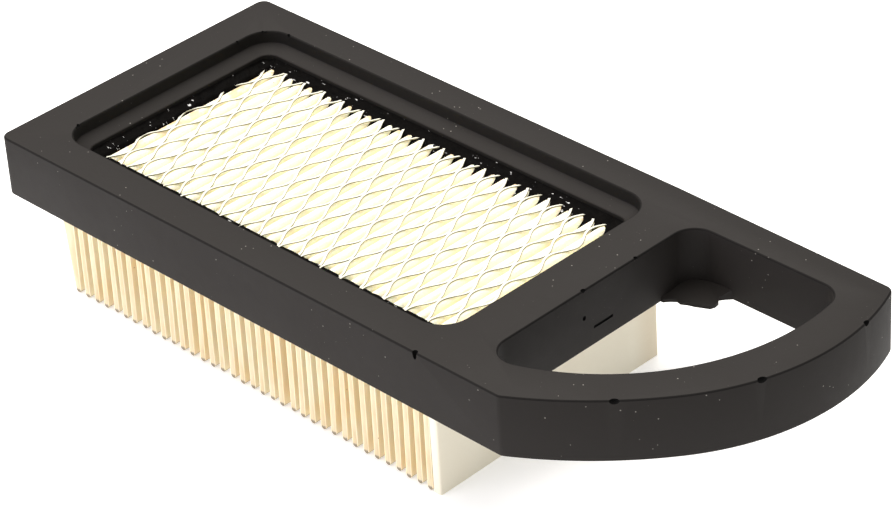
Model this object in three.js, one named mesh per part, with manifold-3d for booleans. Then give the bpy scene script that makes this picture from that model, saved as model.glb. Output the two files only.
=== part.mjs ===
// Panel air filter cartridge for a small engine.
// A soft moulded frame with a pull loop holds a pleated paper pack under a wire screen.
// Millimetres, +Z up. The origin is at the middle of the footprint, on the surface it stands on.
// Inside the outline functions, u runs from the plain end to the loop and v from front to rear.

import * as THREE from "three";
import { mergeVertices } from "three/addons/utils/BufferGeometryUtils.js";
import Module from "manifold-3d";

const wasm = await Module();
wasm.setup();

// Overall sizes
const LENGTH = 237;
const WIDTH = 98;
const HEIGHT = 49.4;
const FRAME_THICKNESS = 18;
const GAP = 0.3;

// Working values of the booleans and curves
const OVERSHOOT = 2;
const WELD_DISTANCE = 1e-4;
const OUTLINE_SEGMENTS = 14;
const WINDOW_SEGMENTS = 6;
const FLASH_SEGMENTS = 4;

// Frame outline
const CORNER_RADIUS = 2.8;
const FRONT_SIDE = 188.6;
const FRONT_CORNER_RADIUS = 3;
const LOOP_HEADINGS = [29.8, 51.5];
const LOOP_OUTER_RADII = [116, 67];
const LOOP_CORNER_RADIUS = 3;
const REAR_TAPER = 1.2;
const REAR_TAPER_START = 160;

// Opening of the pull loop
const OPENING_LEFT = 173.5;
const OPENING_REAR = 87.3;
const OPENING_ARC = { u: 160.5, v: 72.4, radius: 64 };
const OPENING_CORNER = 6.5;

// Thin moulding flash at the bottom of the opening, measured from its rear corner at the pack
const FLASH_THICKNESS = 3.5;
const FLASH_OVERLAP = 1.5;
const FLASH_START = -12;
const FLASH_EDGE = [{ u: 4.5, v: -10.2 }, { u: 9, v: -8.2 }];
const FLASH_TIP = { pullU: 14, pullV: -6, u: 12, v: -3 };
const FLASH_REACH = 14;

// Window above the screen: a wall, a ledge that falls a little inwards, and the opening inside it
const WINDOW = { u0: 12.6, u1: 159.5, v0: 11.3, v1: 88, radius: 8 };
const LEDGE = { depth: 3.8, fall: 1.5, width: 4.2 };
const WINDOW_DEPTH = 12;

// Pleated pack
const PACK = { u0: 9.6, u1: 157, v0: 9.4, v1: 88.6 };
const PACK_TOP = 41;
const SHEET = 0.4;
const PLEATS = 36;
const FOLD_WIDTH = 1.4;
const BOTTOM_START = 14.6;
const LAST_FOLD = 0.5;
const PANEL_THICKNESS = 0.8;
const PANEL_OVERHANG = 1.6;
const SEAL_THICKNESS = 0.8;
const POCKET_CLEARANCE = 0.35;

// Screen
const STRAND = 0.8;
const SCREEN_THICKNESS = 0.3;
const DIAMOND = { u: 7.7, v: 16 };
const SCREEN = { u0: 17.5, u1: 155, v0: 15, v1: 84 };

// Sealing beads around the screen
const BEAD = { front: 2.6, rear: 2.6, plain: 5.7, loop: 3 };
const BEAD_OUTER_HEIGHT = 0.9;
const BEAD_INNER_HEIGHT = 0.3;

const FRAME_TOP = HEIGHT;
const FRAME_BOTTOM = HEIGHT - FRAME_THICKNESS;
const SCREEN_BOTTOM = PACK_TOP + GAP;
const BEAD_BOTTOM = SCREEN_BOTTOM + SCREEN_THICKNESS + GAP;

const MATERIALS = {
  frame: new THREE.MeshStandardMaterial({ color: 0x2b2927, roughness: 0.55, metalness: 0 }),
  paper: new THREE.MeshStandardMaterial({ color: 0xf0e4c0, roughness: 0.9, metalness: 0 }),
  screen: new THREE.MeshStandardMaterial({ color: 0xc4c0ac, roughness: 0.4, metalness: 0.8 }),
  bead: new THREE.MeshStandardMaterial({ color: 0x0c0c0c, roughness: 0.2, metalness: 0 }),
  seal: new THREE.MeshStandardMaterial({ color: 0xe8d6ac, roughness: 0.85, metalness: 0 }),
  card: new THREE.MeshStandardMaterial({ color: 0xd6cfbe, roughness: 0.85, metalness: 0 }),
};

const radians = (degrees) => (degrees * Math.PI) / 180;

/** A manifold solid from a closed three.js geometry. */
function solid(geometry) {
  const bare = geometry.clone();
  bare.deleteAttribute("normal");
  bare.deleteAttribute("uv");
  const merged = mergeVertices(bare, WELD_DISTANCE);
  const mesh = new wasm.Mesh({
    numProp: 3,
    vertProperties: new Float32Array(merged.attributes.position.array),
    triVerts: new Uint32Array(merged.index.array),
  });
  return new wasm.Manifold(mesh);
}

/** A three.js geometry from a manifold solid. */
function geometryOf(body) {
  const mesh = body.getMesh();
  const geometry = new THREE.BufferGeometry();
  geometry.setAttribute("position", new THREE.BufferAttribute(mesh.vertProperties, 3));
  geometry.setIndex(new THREE.BufferAttribute(mesh.triVerts, 1));
  geometry.computeVertexNormals();
  return geometry;
}

/** A flat u-v shape raised from z0 to z1, centred on the footprint. */
function slab(shape, z0, z1, curveSegments = 1) {
  const geometry = new THREE.ExtrudeGeometry(shape, {
    depth: z1 - z0,
    bevelEnabled: false,
    curveSegments,
  });
  geometry.translate(-LENGTH / 2, -WIDTH / 2, z0);
  return geometry;
}

/** A u-z profile pushed along v from v0 to v1. */
function runAlongV(profile, v0, v1) {
  const geometry = new THREE.ExtrudeGeometry(profile, { depth: v1 - v0, bevelEnabled: false });
  geometry.rotateX(Math.PI / 2);
  geometry.translate(-LENGTH / 2, v1 - WIDTH / 2, 0);
  return geometry;
}

/** A v-z profile pushed along u from u0 to u1. */
function runAlongU(profile, u0, u1) {
  const geometry = new THREE.ExtrudeGeometry(profile, { depth: u1 - u0, bevelEnabled: false });
  geometry.rotateX(Math.PI / 2);
  geometry.rotateZ(Math.PI / 2);
  geometry.translate(u0 - LENGTH / 2, -WIDTH / 2, 0);
  return geometry;
}

/** A flat shape from a list of corners. */
function polygon(points) {
  return new THREE.Shape(points.map(([a, b]) => new THREE.Vector2(a, b)));
}

/** A rectangle with round corners. */
function roundRectangle(u0, v0, u1, v1, radius) {
  const shape = new THREE.Shape();
  shape.moveTo(u0 + radius, v0);
  shape.lineTo(u1 - radius, v0);
  shape.absarc(u1 - radius, v0 + radius, radius, -Math.PI / 2, 0);
  shape.lineTo(u1, v1 - radius);
  shape.absarc(u1 - radius, v1 - radius, radius, 0, Math.PI / 2);
  shape.lineTo(u0 + radius, v1);
  shape.absarc(u0 + radius, v1 - radius, radius, Math.PI / 2, Math.PI);
  shape.lineTo(u0, v0 + radius);
  shape.absarc(u0 + radius, v0 + radius, radius, Math.PI, 1.5 * Math.PI);
  shape.closePath();
  return shape;
}

/** Draws an outline as a walk: straight runs, and left turns on an arc. */
class Walk {
  constructor(u, v, heading) {
    this.u = u;
    this.v = v;
    this.heading = heading;
    this.shape = new THREE.Shape();
    this.shape.moveTo(u, v);
  }

  lineTo(u, v) {
    this.heading = Math.atan2(v - this.v, u - this.u);
    this.u = u;
    this.v = v;
    this.shape.lineTo(u, v);
  }

  turnTo(heading, radius) {
    const centreU = this.u - radius * Math.sin(this.heading);
    const centreV = this.v + radius * Math.cos(this.heading);
    const from = this.heading - Math.PI / 2;
    const to = heading - Math.PI / 2;
    this.shape.absarc(centreU, centreV, radius, from, to);
    this.u = centreU + radius * Math.sin(heading);
    this.v = centreV - radius * Math.cos(heading);
    this.heading = heading;
  }
}

/** Outer outline: a rectangle whose loop end is two arcs, longer on the rear side. */
function frameOutline() {
  const [startHeading, middleHeading] = LOOP_HEADINGS.map(radians);
  const [longRadius, endRadius] = LOOP_OUTER_RADII;
  const rearEnd = WIDTH - REAR_TAPER;
  const walk = new Walk(CORNER_RADIUS, 0, 0);
  walk.lineTo(FRONT_SIDE - FRONT_CORNER_RADIUS * Math.tan(startHeading / 2), 0);
  walk.turnTo(startHeading, FRONT_CORNER_RADIUS);
  walk.turnTo(middleHeading, longRadius);
  const centreV = walk.v + endRadius * Math.cos(middleHeading);
  const reach = endRadius - LOOP_CORNER_RADIUS;
  walk.turnTo(Math.acos((centreV + LOOP_CORNER_RADIUS - rearEnd) / reach), endRadius);
  walk.turnTo(Math.PI, LOOP_CORNER_RADIUS);
  walk.lineTo(REAR_TAPER_START, WIDTH);
  walk.lineTo(CORNER_RADIUS, WIDTH);
  walk.turnTo(1.5 * Math.PI, CORNER_RADIUS);
  walk.lineTo(0, CORNER_RADIUS);
  walk.heading = -Math.PI / 2;
  walk.turnTo(0, CORNER_RADIUS);
  return walk.shape;
}

/** Opening of the pull loop: two straight sides, one arc, three round corners. */
function openingOutline() {
  const { u, v, radius } = OPENING_ARC;
  const r = OPENING_CORNER;
  const frontU = OPENING_LEFT + r;
  const frontV = v - Math.sqrt((radius - r) ** 2 - (frontU - u) ** 2);
  const rearV = OPENING_REAR - r;
  const rearU = u + Math.sqrt((radius - r) ** 2 - (rearV - v) ** 2);
  const frontAngle = Math.atan2(frontV - v, frontU - u);
  const rearAngle = Math.atan2(rearV - v, rearU - u);
  const shape = new THREE.Shape();
  shape.moveTo(OPENING_LEFT, rearV);
  shape.lineTo(OPENING_LEFT, frontV);
  shape.absarc(frontU, frontV, r, Math.PI, 2 * Math.PI + frontAngle);
  shape.absarc(u, v, radius, frontAngle, rearAngle);
  shape.absarc(rearU, rearV, r, rearAngle, Math.PI / 2);
  shape.lineTo(frontU, OPENING_REAR);
  shape.absarc(frontU, rearV, r, Math.PI / 2, Math.PI);
  shape.closePath();
  return shape;
}

/** Thin moulding flash left in the rear corner of the opening, at the bottom. */
function flashOutline() {
  const { pullU, pullV, u, v } = FLASH_TIP;
  const corner = new THREE.Shape();
  corner.moveTo(OPENING_LEFT - FLASH_OVERLAP, OPENING_REAR + FLASH_START);
  for (const point of FLASH_EDGE) {
    corner.lineTo(OPENING_LEFT + point.u, OPENING_REAR + point.v);
  }
  corner.quadraticCurveTo(
    OPENING_LEFT + pullU, OPENING_REAR + pullV,
    OPENING_LEFT + u, OPENING_REAR + v,
  );
  corner.lineTo(OPENING_LEFT + FLASH_REACH, OPENING_REAR + FLASH_OVERLAP);
  corner.lineTo(OPENING_LEFT - FLASH_OVERLAP, OPENING_REAR + FLASH_OVERLAP);
  corner.closePath();
  return corner;
}

/** The pocket under the window that the pack and its card stand in. */
function pocketOutline() {
  const endRoom = PANEL_THICKNESS + GAP + POCKET_CLEARANCE;
  const sideRoom = PANEL_OVERHANG + POCKET_CLEARANCE;
  return polygon([
    [PACK.u0 - endRoom, PACK.v0 - sideRoom],
    [PACK.u1 + endRoom, PACK.v0 - sideRoom],
    [PACK.u1 + endRoom, PACK.v1 + sideRoom],
    [PACK.u0 - endRoom, PACK.v1 + sideRoom],
  ]);
}

/** The window's outline, moved inwards by an inset. */
function windowOutline(inset) {
  const { u0, u1, v0, v1, radius } = WINDOW;
  return roundRectangle(u0 + inset, v0 + inset, u1 - inset, v1 - inset, radius - inset);
}

/** The cutter of the window's wall and ledge: a slab whose lower edge is a wide, flat chamfer. */
function ledgeCutter(above) {
  const bottom = FRAME_TOP - LEDGE.depth;
  const geometry = new THREE.ExtrudeGeometry(windowOutline(0), {
    depth: above - bottom,
    bevelThickness: LEDGE.fall,
    bevelSize: LEDGE.width,
    bevelOffset: -LEDGE.width,
    bevelSegments: 1,
    curveSegments: WINDOW_SEGMENTS,
  });
  geometry.translate(-LENGTH / 2, -WIDTH / 2, bottom);
  return geometry;
}

/** The soft frame: outline, window and ledge, pocket and opening, with the flash left on. */
function frameMoulding() {
  const below = FRAME_BOTTOM - OVERSHOOT;
  const above = FRAME_TOP + OVERSHOOT;
  let body = solid(slab(frameOutline(), FRAME_BOTTOM, FRAME_TOP, OUTLINE_SEGMENTS));
  const inner = windowOutline(LEDGE.width);
  body = body.subtract(solid(ledgeCutter(above)));
  body = body.subtract(solid(slab(inner, FRAME_TOP - WINDOW_DEPTH, above, WINDOW_SEGMENTS)));
  body = body.subtract(solid(slab(pocketOutline(), below, BEAD_BOTTOM)));
  body = body.subtract(solid(slab(openingOutline(), below, above, OUTLINE_SEGMENTS)));
  const flashTop = FRAME_BOTTOM + FLASH_THICKNESS;
  return body.add(solid(slab(flashOutline(), FRAME_BOTTOM, flashTop, FLASH_SEGMENTS)));
}

/** One sheet folded up and down; the folds fan out a little towards the top. */
function pleatedPaper() {
  const topPitch = (PACK.u1 - PACK.u0 - FOLD_WIDTH) / PLEATS;
  const bottomPitch = (PACK.u1 - BOTTOM_START - FOLD_WIDTH) / (PLEATS - LAST_FOLD);
  const upper = [[PACK.u0 + GAP, PACK_TOP]];
  const lower = [[PACK.u0 + GAP, PACK_TOP - SHEET]];
  for (let i = 0; i < PLEATS; i++) {
    const top = PACK.u0 + topPitch * i;
    const bottom = BOTTOM_START + bottomPitch * i;
    if (i > 0) {
      upper.push([top, PACK_TOP]);
      lower.push([top + SHEET, PACK_TOP - SHEET]);
    }
    const right = top + (i > 0 ? FOLD_WIDTH : FOLD_WIDTH / 2);
    upper.push([right, PACK_TOP], [bottom, SHEET]);
    lower.push([right - SHEET, PACK_TOP - SHEET], [bottom - SHEET, 0]);
    if (i < PLEATS - 1) {
      upper.push([bottom + FOLD_WIDTH, SHEET]);
      lower.push([bottom + FOLD_WIDTH + SHEET, 0]);
    }
  }
  upper.push([PACK.u1 - GAP, SHEET]);
  lower.push([PACK.u1 - GAP, 0]);
  return runAlongV(polygon([...upper, ...lower.reverse()]), PACK.v0, PACK.v1);
}

/** Expanded sheet: rows of diamond holes, every other row set over by half a diamond. */
function meshScreen() {
  const { u0, u1, v0, v1 } = SCREEN;
  const sheet = polygon([[u0, v0], [u1, v0], [u1, v1], [u0, v1]]);
  const halfU = DIAMOND.u / 2 - STRAND / 2;
  const halfV = DIAMOND.v / 2 - STRAND;
  const rows = Math.floor((v1 - v0 - DIAMOND.v - 2 * STRAND) / (DIAMOND.v / 2)) + 1;
  const firstV = (v0 + v1) / 2 - ((rows - 1) * DIAMOND.v) / 4;
  for (let row = 0; row < rows; row++) {
    const columns = Math.floor((u1 - u0 - DIAMOND.u - 2 * STRAND) / DIAMOND.u) + (row % 2 ? 0 : 1);
    const firstU = (u0 + u1) / 2 - ((columns - 1) * DIAMOND.u) / 2;
    const v = firstV + (row * DIAMOND.v) / 2;
    for (let column = 0; column < columns; column++) {
      const u = firstU + column * DIAMOND.u;
      const hole = new THREE.Path();
      hole.moveTo(u - halfU, v);
      hole.lineTo(u, v + halfV);
      hole.lineTo(u + halfU, v);
      hole.lineTo(u, v - halfV);
      hole.closePath();
      sheet.holes.push(hole);
    }
  }
  return slab(sheet, SCREEN_BOTTOM, SCREEN_BOTTOM + SCREEN_THICKNESS);
}

/** Wedge profile of a sealing bead, high at the frame wall and thin at the screen. */
function beadProfile(wall, width) {
  const tip = wall + width;
  return polygon([
    [wall, BEAD_BOTTOM],
    [tip, BEAD_BOTTOM],
    [tip, BEAD_BOTTOM + BEAD_INNER_HEIGHT],
    [wall, BEAD_BOTTOM + BEAD_OUTER_HEIGHT],
  ]);
}

/** The u and v of the innermost window wall, where the beads start. */
function innerWall() {
  const inset = LEDGE.width + GAP;
  return {
    u0: WINDOW.u0 + inset,
    u1: WINDOW.u1 - inset,
    v0: WINDOW.v0 + inset,
    v1: WINDOW.v1 - inset,
  };
}

/** Upright card on the last fold, at the loop end. */
function loopEndPanel() {
  const u = PACK.u1 + GAP;
  const profile = polygon([
    [u, 0],
    [u + PANEL_THICKNESS, 0],
    [u + PANEL_THICKNESS, PACK_TOP],
    [u, PACK_TOP],
  ]);
  return runAlongV(profile, PACK.v0 - PANEL_OVERHANG, PACK.v1 + PANEL_OVERHANG);
}

/** Glued pleat ends along one long side of the pack. */
function edgeSeal(v0) {
  const profile = polygon([
    [BOTTOM_START, 0],
    [PACK.u1 - GAP, 0],
    [PACK.u1 - GAP, PACK_TOP - GAP],
    [PACK.u0 + GAP, PACK_TOP - GAP],
  ]);
  return runAlongV(profile, v0, v0 + SEAL_THICKNESS - GAP);
}

/** A mesh with its name and material. */
function named(name, geometry, material) {
  const mesh = new THREE.Mesh(geometry, material);
  mesh.name = name;
  return mesh;
}

const wall = innerWall();
const endBeadV0 = wall.v0 + BEAD.front + GAP;
const endBeadV1 = wall.v1 - BEAD.rear - GAP;
const cornerRadius = WINDOW.radius - LEDGE.width;
const beadU0 = wall.u0 + cornerRadius;
const beadU1 = wall.u1 - cornerRadius;

const cartridge = new THREE.Group();
cartridge.add(
  named("frame_moulding", geometryOf(frameMoulding()), MATERIALS.frame),
  named("pleated_paper", pleatedPaper(), MATERIALS.paper),
  named("mesh_screen", meshScreen(), MATERIALS.screen),
  named("sealing_bead_front",
    runAlongU(beadProfile(wall.v0, BEAD.front), beadU0, beadU1), MATERIALS.bead),
  named("sealing_bead_rear",
    runAlongU(beadProfile(wall.v1, -BEAD.rear), beadU0, beadU1), MATERIALS.bead),
  named("sealing_bead_plain_end",
    runAlongV(beadProfile(wall.u0, BEAD.plain), endBeadV0, endBeadV1), MATERIALS.bead),
  named("sealing_bead_loop_end",
    runAlongV(beadProfile(wall.u1, -BEAD.loop), endBeadV0, endBeadV1), MATERIALS.bead),
  named("edge_seal_front", edgeSeal(PACK.v0 - SEAL_THICKNESS), MATERIALS.seal),
  named("edge_seal_rear", edgeSeal(PACK.v1 + GAP), MATERIALS.seal),
  named("end_panel_loop_end", loopEndPanel(), MATERIALS.card),
);

export default cartridge;
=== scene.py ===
"""Studio scene of a panel air filter cartridge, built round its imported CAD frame.

Lengths in the dataclasses of the pieces are millimetres. u runs from the plain end to the pull loop, v from
the front side to the rear side and z up from the floor; `Place` turns them into the row frame.
"""

import logging
import math
import random
from collections.abc import Callable, Sequence
from dataclasses import dataclass, field
from enum import Enum

import bpy
from mathutils import Euler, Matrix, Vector, noise


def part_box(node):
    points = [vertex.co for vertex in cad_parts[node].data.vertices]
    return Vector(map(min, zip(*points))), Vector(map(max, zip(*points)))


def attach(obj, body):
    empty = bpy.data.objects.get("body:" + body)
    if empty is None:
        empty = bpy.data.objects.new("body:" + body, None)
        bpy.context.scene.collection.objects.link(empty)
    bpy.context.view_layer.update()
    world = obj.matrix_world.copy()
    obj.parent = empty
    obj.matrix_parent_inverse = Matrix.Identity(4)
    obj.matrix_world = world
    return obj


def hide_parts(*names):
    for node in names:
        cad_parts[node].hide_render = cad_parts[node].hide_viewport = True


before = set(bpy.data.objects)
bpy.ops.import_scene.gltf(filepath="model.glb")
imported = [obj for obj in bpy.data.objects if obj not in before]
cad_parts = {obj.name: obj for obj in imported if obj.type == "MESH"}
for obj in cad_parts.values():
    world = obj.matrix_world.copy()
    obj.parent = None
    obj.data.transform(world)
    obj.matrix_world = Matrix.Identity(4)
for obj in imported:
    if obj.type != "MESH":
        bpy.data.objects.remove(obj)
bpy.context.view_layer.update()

MM = 0.001
BODY = "root"
log = logging.getLogger("cartridge")


# ---------------------------------------------------------------------------
# Places and edit-mode helpers
# ---------------------------------------------------------------------------


@dataclass(frozen=True)
class Place:
    """Turns u, v, z in millimetres into a point of the row frame."""

    corner: Vector

    def __call__(self, u: float, v: float, z: float = 0.0) -> Vector:
        """The point at u, v, z."""
        return Vector((self.corner.x + u * MM, self.corner.y + v * MM, z * MM))

    def back(self, point: Vector) -> tuple[float, float, float]:
        """u, v and z, in millimetres, of a point of the row frame."""
        return ((point.x - self.corner.x) / MM, (point.y - self.corner.y) / MM, point.z / MM)


PLACE = Place(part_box("frame_moulding")[0])


class Side(Enum):
    """The four sides of the window."""

    FRONT = "front"
    REAR = "rear"
    PLAIN_END = "plain_end"
    LOOP_END = "loop_end"


def deselect() -> None:
    """Leaves edit mode and deselects every object."""
    active = bpy.context.object
    if active is not None and active.mode != "OBJECT":
        bpy.ops.object.mode_set(mode="OBJECT")
    bpy.ops.object.select_all(action="DESELECT")


def activate(piece: bpy.types.Object) -> None:
    """Makes one object the only selected one, and the active one.

    Args:
        piece: The object to select.
    """
    deselect()
    piece.select_set(True)
    bpy.context.view_layer.objects.active = piece


def settle(piece: bpy.types.Object) -> bpy.types.Object:
    """Moves the object's place, turn and scale into its mesh.

    Args:
        piece: The object to settle.

    Returns:
        The same object, at the origin.
    """
    activate(piece)
    bpy.ops.object.transform_apply(location=True, rotation=True, scale=True)
    return piece


def apply_modifier(piece: bpy.types.Object, kind: str, **settings: object) -> None:
    """Adds a modifier with its settings and applies it.

    Args:
        piece: The object that takes the modifier.
        kind: The modifier's type.
        **settings: Values of the modifier's properties.
    """
    activate(piece)
    modifier = piece.modifiers.new(kind.lower(), kind)
    for name, value in settings.items():
        setattr(modifier, name, value)
    bpy.ops.object.modifier_apply(modifier=modifier.name)


def grid(name: str, columns: int, rows: int) -> bpy.types.Object:
    """A flat grid from -1 to 1 both ways, with the given numbers of faces.

    Args:
        name: The object's name.
        columns: Faces along X.
        rows: Faces along Y.

    Returns:
        The new object.
    """
    deselect()
    bpy.ops.mesh.primitive_grid_add(x_subdivisions=columns, y_subdivisions=rows, size=2)
    piece = bpy.context.object
    piece.name = name
    return piece


def shape(piece: bpy.types.Object, rule: Callable[[float, float], Vector]) -> bpy.types.Object:
    """Moves every vertex of a -1 to 1 grid to the place that a rule gives.

    Args:
        piece: A grid made by `grid`.
        rule: Takes the two shares, 0 to 1, along the grid's X and Y, and gives the vertex's new place.

    Returns:
        The same object.
    """
    for vertex in piece.data.vertices:
        vertex.co = rule((vertex.co.x + 1) / 2, (vertex.co.y + 1) / 2)
    return piece


def pick(piece: bpy.types.Object, kind: str, rule: Callable[[bpy.types.bpy_struct], bool]) -> None:
    """Enters edit mode with only those vertices, edges or faces selected that a rule picks.

    Args:
        piece: The object to edit.
        kind: VERT, EDGE or FACE.
        rule: Takes a vertex, edge or face of the mesh and says whether it is picked.
    """
    activate(piece)
    bpy.ops.object.mode_set(mode="EDIT")
    bpy.ops.mesh.select_mode(type=kind)
    bpy.ops.mesh.select_all(action="DESELECT")
    bpy.ops.object.mode_set(mode="OBJECT")
    mesh = piece.data
    for part in {"VERT": mesh.vertices, "EDGE": mesh.edges, "FACE": mesh.polygons}[kind]:
        part.select = rule(part)
    bpy.ops.object.mode_set(mode="EDIT")


def face_outwards(piece: bpy.types.Object) -> None:
    """Merges doubled vertices and makes the normals of a closed piece point out.

    Args:
        piece: The closed object.
    """
    activate(piece)
    bpy.ops.object.mode_set(mode="EDIT")
    bpy.ops.mesh.select_all(action="SELECT")
    bpy.ops.mesh.remove_doubles(threshold=1e-6)
    bpy.ops.mesh.normals_make_consistent(inside=False)
    bpy.ops.object.mode_set(mode="OBJECT")


def smooth(piece: bpy.types.Object, degrees: float) -> None:
    """Shades a piece smooth up to an angle between faces."""
    activate(piece)
    bpy.ops.object.shade_smooth_by_angle(angle=math.radians(degrees))


def join(pieces: Sequence[bpy.types.Object], name: str) -> bpy.types.Object:
    """Joins objects into one.

    Args:
        pieces: The objects to join.
        name: The joined object's name.

    Returns:
        The joined object.
    """
    activate(pieces[0])
    for piece in pieces:
        piece.select_set(True)
    bpy.ops.object.join()
    joined = bpy.context.object
    joined.name = name
    return joined


def cut(piece: bpy.types.Object, cutter: bpy.types.Object, operation: str = "DIFFERENCE") -> None:
    """Cuts a piece with another, or unites them, and removes the other.

    Args:
        piece: The object that is changed.
        cutter: The closed object that is used up.
        operation: The boolean modifier's operation.
    """
    apply_modifier(piece, "BOOLEAN", object=cutter, operation=operation, solver="EXACT")
    bpy.data.objects.remove(cutter)


def mark_faces(piece: bpy.types.Object, name: str, rule: Callable[[bpy.types.MeshPolygon], float]) -> None:
    """Stores a number from 0 to 1 on every face, for the finish to read.

    Args:
        piece: The finished object.
        name: Name of the stored attribute.
        rule: Takes a face and gives its number.
    """
    layer = piece.data.attributes.new(name, "FLOAT", "FACE")
    for face in piece.data.polygons:
        layer.data[face.index].value = rule(face)


def hand_over(piece: bpy.types.Object, material: bpy.types.Material, slot: str, *nodes: str) -> None:
    """Dresses a finished piece, puts it on the body and hides the CAD nodes it stands for.

    Args:
        piece: The finished object.
        material: Its only material.
        slot: Not used.
        *nodes: The CAD nodes it replaces.
    """
    piece.data.materials.clear()
    piece.data.materials.append(material)
    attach(piece, BODY)
    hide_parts(*nodes)
    log.info("%s: %d faces, %s", piece.name, len(piece.data.polygons), material.name)


class Pen:
    """Draws a flat outline in edit mode with vertex extrusions and spins."""

    def __init__(self, name: str, u: float, v: float, z: float, heading: float = 0.0) -> None:
        """Starts an outline with one vertex.

        Args:
            name: The object's name.
            u: Start along the length.
            v: Start across the width.
            z: Height of the outline.
            heading: Direction of the first stroke, in radians from +u.
        """
        deselect()
        self.z = z
        self.at = PLACE(u, v, z)
        self.heading = heading
        bpy.ops.mesh.primitive_plane_add(size=MM, location=self.at)
        self.piece = settle(bpy.context.object)
        self.piece.name = name
        bpy.ops.object.mode_set(mode="EDIT")
        bpy.ops.mesh.select_mode(type="VERT")
        bpy.ops.mesh.select_all(action="SELECT")
        bpy.ops.mesh.merge(type="CENTER")

    def where(self) -> tuple[float, float]:
        """The pen's u and v."""
        u, v, _ = PLACE.back(self.at)
        return u, v

    def line_to(self, u: float, v: float) -> None:
        """Draws a straight stroke.

        Args:
            u: End along the length.
            v: End across the width.
        """
        step = PLACE(u, v, self.z) - self.at
        bpy.ops.mesh.extrude_vertices_move(TRANSFORM_OT_translate={"value": step})
        self.at += step
        self.heading = math.atan2(step.y, step.x)

    def turn_to(self, heading: float, radius: float, steps: int) -> None:
        """Draws a left turn on an arc.

        Args:
            heading: Direction at the end of the arc, in radians from +u.
            radius: The arc's radius.
            steps: Edges in the arc.
        """
        side = Vector((-math.sin(self.heading), math.cos(self.heading), 0.0))
        centre = self.at + side * radius * MM
        turn = heading - self.heading
        bpy.ops.mesh.spin(steps=steps, angle=-turn, center=centre, axis=(0, 0, 1))
        end = Vector((math.sin(heading), -math.cos(heading), 0.0))
        self.at = centre + end * radius * MM
        self.heading = heading

    def close(self, rise: float) -> bpy.types.Object:
        """Closes the outline, fills it and raises it into a solid.

        Args:
            rise: Height of the solid.

        Returns:
            The finished object.
        """
        bpy.ops.mesh.select_all(action="SELECT")
        bpy.ops.mesh.remove_doubles(threshold=1e-5)
        bpy.ops.mesh.edge_face_add()
        bpy.ops.mesh.select_all(action="SELECT")
        bpy.ops.mesh.extrude_region_move(TRANSFORM_OT_translate={"value": (0, 0, rise * MM)})
        face_outwards(self.piece)
        return self.piece


def round_block(
    name: str, low: tuple[float, float], high: tuple[float, float], radius: float, z: float, rise: float
) -> bpy.types.Object:
    """An upright block with round corners.

    Args:
        name: The object's name.
        low: Lowest u and v.
        high: Highest u and v.
        radius: Radius of the corners.
        z: Height of the underside.
        rise: Height of the block.

    Returns:
        The finished object.
    """
    (u0, v0), (u1, v1) = low, high
    quarter, steps = math.pi / 2, 8
    pen = Pen(name, u0 + radius, v0, z)
    corners = [(u1 - radius, v0), (u1, v1 - radius), (u0 + radius, v1), (u0, v0 + radius)]
    for number, (u, v) in enumerate(corners):
        pen.line_to(u, v)
        pen.heading = number * quarter
        pen.turn_to((number + 1) * quarter, radius, steps)
    return pen.close(rise)


def grain(point: Vector, size: float, seed: float = 0.0) -> float:
    """Smooth noise from about -1 to 1, with cells of a given size in millimetres."""
    return noise.noise(point / (size * MM) + Vector((seed, 0.37 * seed, 1.7 * seed)))


# ---------------------------------------------------------------------------
# Shader maths
# ---------------------------------------------------------------------------


class Term:
    """A shader value; Python arithmetic on it adds Math nodes."""

    def __init__(self, graph: "Graph", socket: bpy.types.NodeSocket) -> None:
        """Wraps an output socket of a graph."""
        self.graph = graph
        self.socket = socket

    def _math(self, operation: str, first: "Term | float", second: "Term | float") -> "Term":
        """Adds one Math node."""
        return self.graph.node("ShaderNodeMath", {"operation": operation}, {0: first, 1: second})

    def __add__(self, other: "Term | float") -> "Term":
        """self + other."""
        return self._math("ADD", self, other)

    def __radd__(self, other: float) -> "Term":
        """other + self."""
        return self._math("ADD", other, self)

    def __rsub__(self, other: float) -> "Term":
        """other - self."""
        return self._math("SUBTRACT", other, self)

    def __mul__(self, other: "Term | float") -> "Term":
        """self * other."""
        return self._math("MULTIPLY", self, other)

    def __rmul__(self, other: float) -> "Term":
        """other * self."""
        return self._math("MULTIPLY", other, self)

    def step(self, low: float, high: float) -> "Term":
        """A smooth step: 0 below low, 1 above high."""
        return self.graph.node(
            "ShaderNodeMapRange",
            {"interpolation_type": "SMOOTHSTEP"},
            {"Value": self, "From Min": low, "From Max": high, "To Min": 0.0, "To Max": 1.0},
        )


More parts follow.
